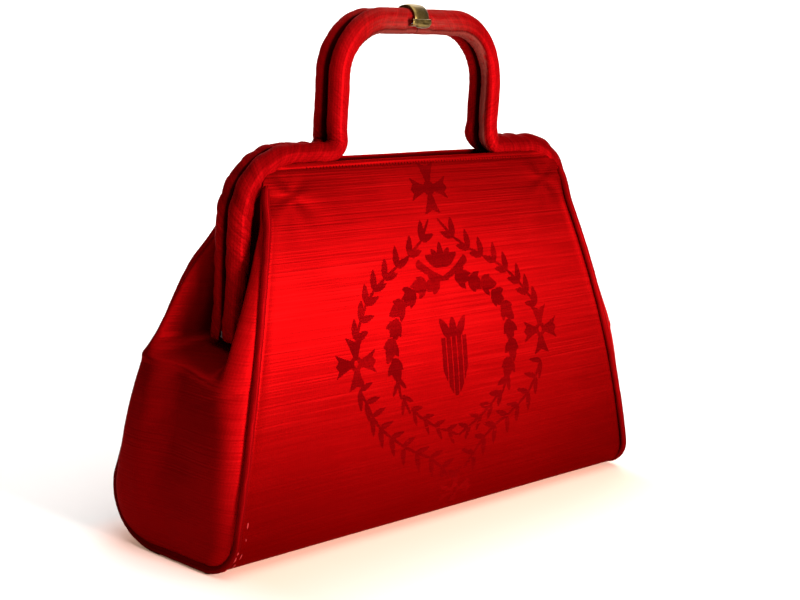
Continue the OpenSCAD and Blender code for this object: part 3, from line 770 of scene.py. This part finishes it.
# ---- covered bars ----------------------------------------------------------------------
def bar_path(end_x, hr, low=103.3, step=0.8):
    """Centre line in x and z from the arm's lower end up to the clasp, with the bend at each point."""
    def line(a, b):
        k = max(2, int(math.dist(a, b) / step))
        return np.linspace(a, b, k, endpoint=False)

    def arc(c, r, a0, a1):
        k = max(4, int(r * abs(math.radians(a1 - a0)) / step))
        a = np.radians(np.linspace(a0, a1, k, endpoint=False))
        return np.stack([c[0] + r * np.cos(a), c[1] + r * np.sin(a)], -1)

    er = 7.0
    parts = [line((ARM_X, low), (ARM_X, SH_CZ)), arc((SH_CX, SH_CZ), SHOULDER_R, 0, 90),
             line((SH_CX, BAR_Z), (LEG_X + er, BAR_Z)), arc((LEG_X + er, BAR_Z + er), er, -90, -180),
             line((LEG_X, BAR_Z + er), (LEG_X, TOP_Z - hr)), arc((LEG_X - hr, TOP_Z - hr), hr, 0, 90),
             line((LEG_X - hr, TOP_Z), (end_x, TOP_Z)), np.array([[end_x, TOP_Z]])]
    bend = np.concatenate([np.full(len(p), b) for p, b in zip(parts, (0, 0.35, 0, -1.0, 0, 0.35, 0, 0))])
    return np.concatenate(parts), bend


def cover(half, side):
    """half is -1 at the front and 1 at the back; side is -1 left and 1 right."""
    C, bend = bar_path(-7.9 if side > 0 else 8.3, 35.0 if side > 0 else 29.0)
    s = run_length(C)
    T = np.gradient(C, s, axis=0)
    T /= np.linalg.norm(T, axis=1)[:, None]
    bend = np.convolve(np.pad(bend, 8, mode="edge"), np.ones(17) / 17, "valid")
    n = 40
    th = np.arange(n) / n * 2 * np.pi
    z = C[:, 1]
    arm = smooth((150 - z) / 40) * (C[:, 0] > 120)
    sho = np.exp(-((s - 70) / 30) ** 2)
    if side > 0:
        sho = 0.4 * sho + 1.1 * np.exp(-((s - 60) / 24) ** 2)
    leg = smooth((z - 200) / 10)
    top = np.clip(1 - (TOP_Z - z) / 27, 0, 1) ** 1.6
    low = smooth((206 - z) / 14)
    if half < 0:
        ry = 5.45 - 1.25 * arm + 0.5 * sho
        rx = 5.45 - 1.15 * arm + (0.7 if side < 0 else 1.5) * sho
        yc = BAR_Y - 1.22 * arm + 0.4 * sho
    else:
        ry = COVER_R - 0.8 * low - 0.5 * arm - 0.9 * leg
        rx = COVER_R - 0.8 * low - 0.3 * arm - 0.8 * leg
        yc = BAR_Y - 0.9 * low - 0.5 * arm + 0.3 * leg
    e = (2 + 1.4 * smooth((135 - z) / 25) + 5 * smooth((118 - z) / 5))[:, None]
    c_, s_ = np.abs(np.cos(th))[None] / ry[:, None], np.abs(np.sin(th))[None] / rx[:, None]
    r = (c_ ** e + s_ ** e) ** (-1 / e)
    # the handle's top is fuller, with the sleeve's turned seam hanging under it
    hang = 2.3 if half < 0 else 2.6
    r = r + top[:, None] * (0.7 * np.clip(np.sin(th), 0, 1) + hang * np.clip(-np.sin(th), 0, 1))[None]
    tip = np.sqrt(np.clip(1 - (1 - np.clip(s / 3.0, 0, 1)) ** 2, 0.0004, 1))
    end = s[-1] - s
    roll = np.sqrt(np.clip(1 - (1 - np.clip(end / 1.4, 0, 1)) ** 2, 0, 1))
    ph, seed = s[:, None], 60 + half * 3 + side
    wr = 0.20 * noise(ph / 9, th[None] * 1.3 + 3, seed) + 0.07 * noise(ph / 3.2, th[None] * 1.9, seed + 7)
    inner = np.clip(-np.sin(th)[None] * np.sign(bend + 1e-9)[:, None], 0, 1) * np.abs(bend)[:, None]
    fold = np.sin(2 * np.pi * (ph / 4.2 + 0.45 * noise(ph / 9, th[None], seed + 11)))
    wr = wr + inner * (0.35 * fold - 0.2)
    # the sleeve's long seam runs along the inside of the loop: a groove beside a flat welt
    groove = np.radians(250 - 27 * smooth((z - 232) / 26))[:, None]
    ds = np.angle(np.exp(1j * (th[None] - groove)))
    if half > 0:
        ds = np.full_like(ds, -3.0)
    wr = wr - 0.5 * np.exp(-(ds / 0.13) ** 2) - 0.35 * smooth(ds / 0.3) * smooth((1.5 - ds) / 0.4)
    # hand sewing draws the sleeve in at even steps along its outer edge
    outer = np.clip(np.sin(th) + 0.2, 0, 1)[None] if half > 0 else np.clip(np.sin(th) - 0.2, 0, 1)[None]
    step = np.abs(np.sin(np.pi * (ph / 9.0 + 0.12 * noise(ph / 20, 0 * th[None], seed + 3)))) ** 0.6
    arms = smooth((215 - z) / 20)[:, None]
    wr = wr + (0.5 * step - 0.34) * outer * (0.5 + 0.5 * arms) * (1.0 if half > 0 else 0.45)
    # soft diagonal drag folds on the arms and shoulders
    drag = np.sin(2 * np.pi * (ph / 13.0 + th[None] / (2 * np.pi) * 2) + seed)
    wr = wr + 0.22 * drag * arms * smooth((s[:, None] - 10) / 20)
    if half < 0:
        # pressed flat behind the clasp's curl, which turns there
        wr = wr - 1.1 * smooth((10.5 - end) / 2.5)[:, None] * np.exp(-((th - math.pi - 0.28) / 0.62) ** 4)[None]
    R = (r + wr) * (tip * (0.9 + 0.1 * roll))[:, None]
    A = np.tile(np.array([0.0, 1.0, 0.0]), (len(s), 1))
    B = np.stack([side * T[:, 1], 0 * s, -T[:, 0]], -1)
    P = np.stack([side * C[:, 0] + leg * (-0.9 if half < 0 else 0.6 * side) * (1 - top), half * yc, z], -1)
    G = tube(P, A, B, R, n)
    # the cloth lies on the rod and never inside it
    q = G - np.stack([side * C[:, 0], 0 * z + half * BAR_Y, z], -1)[:, None]
    a, b = (q * A[:, None]).sum(-1), (q * B[:, None]).sum(-1)
    k = np.maximum(1, (ROD_R + 0.25) / np.maximum(np.hypot(a, b), 0.5))[:, :, None] - 1
    G = G + k * (a[:, :, None] * A[:, None] + b[:, :, None] * B[:, None]) * smooth((s - 3) / 3)[:, None, None]
    # below the rivet the facing sides part, which leaves room for the swing
    slot = np.where(z < 128, np.where(np.abs(z - 108.5) < 0.7, 0.6, 0.08), 0.6)[:, None]
    slot = slot + 0.44 * np.clip(PIVOT + 0.4 - z, 0, None)[:, None]
    G[:, :, 1] = np.where(half < 0, np.minimum(G[:, :, 1], -slot), np.maximum(G[:, :, 1], slot))
    welt = smooth(ds / 0.12) * smooth((1.35 - ds) / 0.3)
    wear_and_shade = (1.0 * smooth((z - 190) / 16) + 0.1)[:, None] * welt
    rubbed = np.clip(0.25 + np.abs(np.sin(th + 0.5))[None], 0, 1)
    wear_and_shade = wear_and_shade + 0.5 * np.exp(-((end - 16) / 20) ** 2)[:, None] * rubbed
    # painted shade: dark where the two sleeves face each other
    face = -half * np.cos(th)
    painted_shade = smooth((face - 0.86) / 0.12) if half < 0 else smooth((face - 0.46) / 0.25)
    # and painted shade on the shoulders' upper side and along the handle's top
    amount, reach = (0.45, 0.3) if side < 0 else (0.55, 0.6)
    level = (1 - leg) * smooth((z - 150) / 20) * np.abs(T[:, 0])
    top_shade = amount * smooth((np.sin(th) + reach) / 0.9)[None] * level[:, None] + 0.22 * top[:, None]
    # painted shade along the groove of the sleeve's seam on the legs and handle
    seam = 0.7 * np.exp(-(ds / 0.14) ** 2) * leg[:, None]
    painted_shade = np.maximum(np.maximum(0.94 * painted_shade[None], top_shade), seam)
    m = Mesh()
    m.grid(G, tube_uv(s, COVER_R, n), wrap=True, flip=side < 0, wear_and_shade=wear_and_shade, painted_shade=painted_shade)
    return m.build(HALF_NAME[half] + "_sleeve_" + SIDE_NAME[side], [SILK_BAR])


for half in (-1, 1):
    for side in (-1, 1):
        o = cover(half, side)
        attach(o, "front_half" if half < 0 else "bag")
        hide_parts(HALF_NAME[half] + "_cover_" + SIDE_NAME[side])


# ---- lining and boards --------------------------------------------------------------------
def inner_sheet(name, inset, v0, v1, d0, d1, mats, ripple):
    """A sheet parallel to the outer cloth, between the depths d0 and d1 under it."""
    v = np.linspace(v0, v1, max(30, int((v1 - v0) / 3)))
    hw = half_w(profile(v, END_X)[1]) - inset
    x = np.linspace(-1, 1, 91)[None] * hw[:, None]
    vv = np.broadcast_to(v[:, None], x.shape)
    y, z, ny, nz = profile(vv, x)
    rip = ripple * (noise(x / 16, vv / 40, 71) + 0.6 * noise(x / 6, vv / 25, 72))
    a, b = [np.stack([x, y - ny * (d + rip), z - nz * (d + rip)], -1) for d in (d0, d1)]
    UV = np.stack([x, vv], -1)
    m = Mesh()
    m.grid(a, UV, flip=True)
    m.grid(b, UV)
    for r0, r1 in ((a[:1], b[:1]), (b[-1:], a[-1:])):
        k = np.stack([x[0], 0 * x[0]], -1)
        m.grid(np.concatenate([r0, r1]), np.stack([k, k + [0, 1]]))
    for c in (0, -1):
        k = np.stack([v, 0 * v], -1)
        m.grid(np.stack([a[:, c], b[:, c]]), np.stack([k, k + [0, 1]]), flip=c == -1)
    return m.build(name, mats, weld=True)


BOARD_D, LINING_D = PANEL_T + FIT, PANEL_T + BOARD_T + 2 * FIT
V_TOP, V_LOW = float(length_at(BODY_H - 1)), float(length_at(CORNER_H))
for name, v0, v1, where in (("lining_cloth", -V_TOP, 0.0, "front"), ("lining_cloth_rear", 0.0, V_TOP, "rear")):
    lining = inner_sheet(name, 4, v0, v1, LINING_D, LINING_D + LINING_T, [LINING], 0.1)
    soft(lining, "lining", where, "lining")
board = inner_sheet("front_stiffener", 4, 4 - V_TOP, -V_LOW, BOARD_D, BOARD_D + BOARD_T, [CARD], 0.0)
soft(board, "card", "front", "front_board")
for name, inset, v0, v1 in (("rear_stiffener", 4, V_LOW + 14, V_TOP - 4),
                            ("base_stiffener", 30, -CORNER_Y, CORNER_Y - 6)):
    board = inner_sheet(name, inset, v0, v1, BOARD_D, BOARD_D + BOARD_T, [CARD], 0.0)
    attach(board, "bag")
    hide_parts(name.replace("stiffener", "board"))


# ---- stitches --------------------------------------------------------------------------
THREAD_SIDES = 6


def thread(m, t, P, ny, nz, radius, tip, length, lift=0.0):
    """A thread along P, thinner at its ends; ny and nz are the cloth's normals and t runs from 0 to 1."""
    N = np.stack([0 * t, ny, nz], -1)
    R = np.repeat((radius * (tip + (1 - tip) * np.sin(np.pi * t)))[:, None], THREAD_SIDES, 1)
    ring = tube(P + N * np.broadcast_to(lift, t.shape)[:, None], np.cross(headings(P), N), N, R, THREAD_SIDES)
    m.grid(ring, tube_uv(t * length, 0.3, THREAD_SIDES), wrap=True)


def stitches(name, sgn):
    """A row of short slanted stitches under one mouth edge."""
    m = Mesh()
    rng = np.random.RandomState(9)
    at = np.arange(-86, 86.1, 2.3)
    row = LENGTH - 2.4
    t = np.linspace(0, 1, 5)
    for x0, j in zip(at, rng.rand(len(at), 3) - 0.5):
        v0, v1 = sgn * (row + 0.8 + 0.3 * j[1]), sgn * (row - 0.9 + 0.3 * j[2])
        x, v = x0 + 0.3 * j[0] + 0.35 * t, v0 + (v1 - v0) * t
        _, _, ny, nz = profile(v)
        thread(m, t, on_body(x, v), ny, nz, 0.22, 0.35, 2, 0.18 * np.sin(np.pi * t) - 0.05)
    return m.build(name, [SILK])


soft(stitches("front_stitches", -1), "silk", "front")
soft(stitches("rear_stitches", 1), "silk", "rear")


def fray():
    """Pale worn threads low on the left front seam: on the panel's edge and on the piping."""
    m = Mesh()
    rng = np.random.RandomState(21)
    t = np.linspace(0, 1, 7)
    # height, length and whether it lies on the piping
    for z0, ln, on in ((5.5, 2.6, 0), (10.7, 2.4, 0), (18.7, 0.9, 0), (25.6, 2.6, 0), (5.0, 2.8, 1),
                       (11.5, 2.2, 1), (14.5, 0.8, 1)):
        for _ in range(4):
            v = -float(length_at(z0)) + (t - 0.5) * ln * (0.7 + 0.6 * rng.rand()) + 0.5 * (rng.rand() - 0.5)
            y, z, ny, nz = profile(v, -END_X)
            out = pipe_out(nz) + PIPE_R - 0.05
            x = -(seam_x(z) - (0.3 if on else 6.4)) + 0.5 * (rng.rand() - 0.5) + 0.2 * (rng.rand() - 0.5) * t
            P = np.stack([x, y + ny * out, z + nz * out], -1) if on else on_body(x, v, 0.1)
            thread(m, t, P, ny, nz, 0.3, 0.3, 3)
    return m.build("frayed_threads", [FRAY])


soft(fray(), "silk", "front")


# ---- clasp -------------------------------------------------------------------------------
CLASP_X = -8.8
AXLE_Y, AXLE_Z, AXLE_R = -12.8, TOP_Z - 1.5, 0.8


def strip(name, pts, width, thick, dome, body, node, dx=0.0):
    """A bent metal strip: pts are (y, z) along its middle, width and thick vary along it."""
    pts = np.array(pts)
    s = run_length(pts)
    u = np.linspace(0, s[-1], 90)
    c = np.stack([np.interp(u, s, pts[:, 0]), np.interp(u, s, pts[:, 1])], -1)
    for _ in range(6):
        c[1:-1] = (c[:-2] + 2 * c[1:-1] + c[2:]) / 4
    d = headings(c)
    nrm = np.stack([-d[:, 1], d[:, 0]], -1)
    w = np.interp(u / s[-1], np.linspace(0, 1, len(width)), width) / 2
    k = 48
    a = np.arange(k) / k * 2 * np.pi
    # rounded rectangle section
    cx = np.sign(np.cos(a)) * np.abs(np.cos(a)) ** 0.25
    cz = np.sign(np.sin(a)) * np.abs(np.sin(a)) ** 0.45
    x = cx[None] * w[:, None]
    h = cz[None] * thick / 2 + dome * (1 - cx[None] ** 2)
    cap = np.sqrt(np.clip(1 - (1 - np.clip(np.minimum(u, s[-1] - u) / 0.6, 0, 1)) ** 2, 0.0025, 1))
    P = np.stack([CLASP_X + dx + x * (0.9 + 0.1 * cap[:, None]), c[:, :1] + nrm[:, :1] * h * cap[:, None],
                  c[:, 1:] + nrm[:, 1:] * h * cap[:, None]], -1)
    m = Mesh()
    m.grid(P, tube_uv(u, 2.0, k), wrap=True)
    o = m.build(name, [BRASS])
    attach(o, body)
    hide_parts(node)


def around(y0, z0, ry, rz, a0, a1, n=24):
    """Points (y, z) on an arc from a0 to a1 degrees."""
    return [(y0 + ry * math.cos(a), z0 + rz * math.sin(a)) for a in np.radians(np.linspace(a0, a1, n))]


def clasp_axle():
    x = np.linspace(-8.5, 4.8, 9)
    r = AXLE_R * np.array([0.05, 0.85, 1, 1, 1, 1, 1, 0.85, 0.05])
    path = np.stack([CLASP_X + x, 0 * x + AXLE_Y, 0 * x + AXLE_Z], -1)
    n = 20
    across, up = np.tile([0.0, 1.0, 0.0], (9, 1)), np.tile([0.0, 0.0, 1.0], (9, 1))
    m = Mesh()
    m.grid(tube(path, across, up, np.repeat(r[:, None], n, 1), n), tube_uv(x, AXLE_R, n), wrap=True)
    return m.build("clasp_axle", [STEEL])


curl = around(AXLE_Y, AXLE_Z, 1.15, 1.15, -60, -300, 18)
over = around(-BAR_Y, TOP_Z + 0.5, 6.5, 6.9, 172, 82)
strip("clasp_strap", curl + over + [(-2.8, TOP_Z + 7.0), (-0.8, TOP_Z + 6.5), (0.8, TOP_Z + 6.0)],
      [9.6, 10, 10.8, 11, 11, 11, 11, 11, 11, 10.8, 8.5], 1.5, 0.5, "clasp", "clasp_tongue")
cup = [(-10.8, -0.95), (-12.4, -0.95), (-13.8, -0.7), (-14.4, 0), (-14.45, 1.4), (-14.3, 2.0), (-13.6, 2.3)]
strip("clasp_plate", [(y, AXLE_Z + z) for y, z in cup],
      [13.2, 13.8, 14.0, 14.0, 14.0, 14.0, 13.8], 0.9, 0.0, "front_half", "clasp_seat", -1.9)
strip("clasp_hook", around(BAR_Y, TOP_Z, 5.75, 5.75, 150, 20),
      [11.2, 11.4, 11.4, 11.2], 0.8, 0.0, "bag", "clasp_catch")
axle = clasp_axle()
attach(axle, "front_half")
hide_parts("clasp_pin")

# ---- carried-over CAD nodes --------------------------------------------------------------
for node, mat in (("front_frame", DARK_STEEL), ("rear_frame", DARK_STEEL),
                  ("left_hinge_pin", STEEL), ("right_hinge_pin", STEEL)):
    me = OBJ[node].data
    me.materials.clear()
    me.materials.append(mat)

# ---- floor, light and camera ---------------------------------------------------------------
# fitted to the photo: the camera's angles, its focal length in pixels and its place
YAW, PITCH, ROLL, FOCAL = math.radians(47.95), math.radians(-10.56), math.radians(3.23), 1685.9
CAMERA_AT, PHOTO_W, SENSOR_W = (-672.9, -607.1, 280.9), 800, 36.0

floor_me = bpy.data.meshes.new("floor")
ys = np.concatenate([[-3.0], np.linspace(1.2, 2.0, 12)])
zs = np.concatenate([[0.0], 0.8 * (1 - np.cos(np.linspace(0, math.pi / 2, 12)))])
ys, zs = np.append(ys, 2.02), np.append(zs, 3.5)
fv = [(x, y, z) for y, z in zip(ys, zs) for x in (-4.0, 4.0)]
turn = Matrix.Rotation(-YAW, 4, "Z")
fv = [tuple(turn @ Matrix.Translation(p).to_translation()) for p in fv]
floor_me.from_pydata(fv, [], [(2 * i, 2 * i + 1, 2 * i + 3, 2 * i + 2) for i in range(len(ys) - 1)])
floor_me.polygons.foreach_set("use_smooth", np.ones(len(floor_me.polygons), bool))
floor = bpy.data.objects.new("floor", floor_me)
bpy.context.scene.collection.objects.link(floor)
nf = Nodes("floor")
tcf = nf.new("TexCoord")
at = nf.new("SeparateXYZ")
nf.put(at.inputs[0], tcf.outputs["Object"])
pale = nf.ramp(nf.noise(tcf.outputs["Object"], 3, 2, 0.5, "3D"),
               [(0.3, (0.90, 0.885, 0.865)), (0.7, (0.93, 0.915, 0.895))])
# painted bounce light: a warm floor colour and a weak glow along the bag's front stand in for the warm light the
# bag throws
painted_bounce = nf.math("MULTIPLY", nf.span(at.outputs[1], -0.17, -0.045, 0.0, 1.0),
               nf.span(at.outputs[1], 0.02, 0.07, 1.0, 0.0))
painted_bounce = nf.math("MULTIPLY", painted_bounce, nf.span(nf.math("ABSOLUTE", at.outputs[0]), 0.14, 0.20, 1.0, 0.0))
nf.set(Base_Color=nf.mix(painted_bounce, pale, (0.97, 0.48, 0.40, 1)), Roughness=0.85, Specular_IOR_Level=0.2,
       Emission_Color=nf.mix(painted_bounce, (0.0, 0.0, 0.0, 1), (1.0, 0.66, 0.44, 1)), Emission_Strength=0.34)
floor_me.materials.append(nf.mat)


def area(name, loc, aim, size, power, colour=(1, 1, 1)):
    li = bpy.data.lights.new(name, "AREA")
    li.shape, li.size, li.size_y, li.energy, li.color = "RECTANGLE", size[0], size[1], power, colour
    o = bpy.data.objects.new(name, li)
    d = (Matrix.Translation(loc).to_translation() - Matrix.Translation(aim).to_translation()).normalized()
    o.rotation_euler = d.to_track_quat("Z", "Y").to_euler()
    o.location = loc
    bpy.context.scene.collection.objects.link(o)


area("key", (-0.06, -1.0, 0.34), (-0.02, -0.04, 0.13), (0.28, 0.28), 17, (1.0, 0.97, 0.93))
area("top", (0.05, -0.5, 1.7), (0.0, -0.1, 0.0), (1.6, 1.6), 29)
area("back", (0.9, 0.9, 1.6), (1.4, 1.4, 0.4), (1.6, 1.0), 40)
world = bpy.data.worlds.new("studio")
world.use_nodes = True
world.node_tree.nodes["Background"].inputs[0].default_value = (1.0, 0.985, 0.965, 1)
world.node_tree.nodes["Background"].inputs[1].default_value = 0.08
bpy.context.scene.world = world
bpy.context.scene.view_settings.view_transform = "Standard"
bpy.context.scene.view_settings.look = "None"

fw = np.array([math.sin(YAW) * math.cos(PITCH), math.cos(YAW) * math.cos(PITCH), math.sin(PITCH)])
r = np.cross(fw, [0, 0, 1])
r /= np.linalg.norm(r)
u = np.cross(r, fw)
r2, u2 = math.cos(ROLL) * r + math.sin(ROLL) * u, -math.sin(ROLL) * r + math.cos(ROLL) * u
cam = bpy.data.cameras.new("camera")
cam.sensor_fit, cam.sensor_width, cam.lens = "HORIZONTAL", SENSOR_W, FOCAL / PHOTO_W * SENSOR_W
cam.clip_start, cam.clip_end = 0.01, 50
co = bpy.data.objects.new("camera", cam)
co.matrix_world = Matrix([[r2[i], u2[i], -fw[i], c * MM] for i, c in enumerate(CAMERA_AT)] + [[0, 0, 0, 1]])
bpy.context.scene.collection.objects.link(co)
bpy.context.scene.camera = co
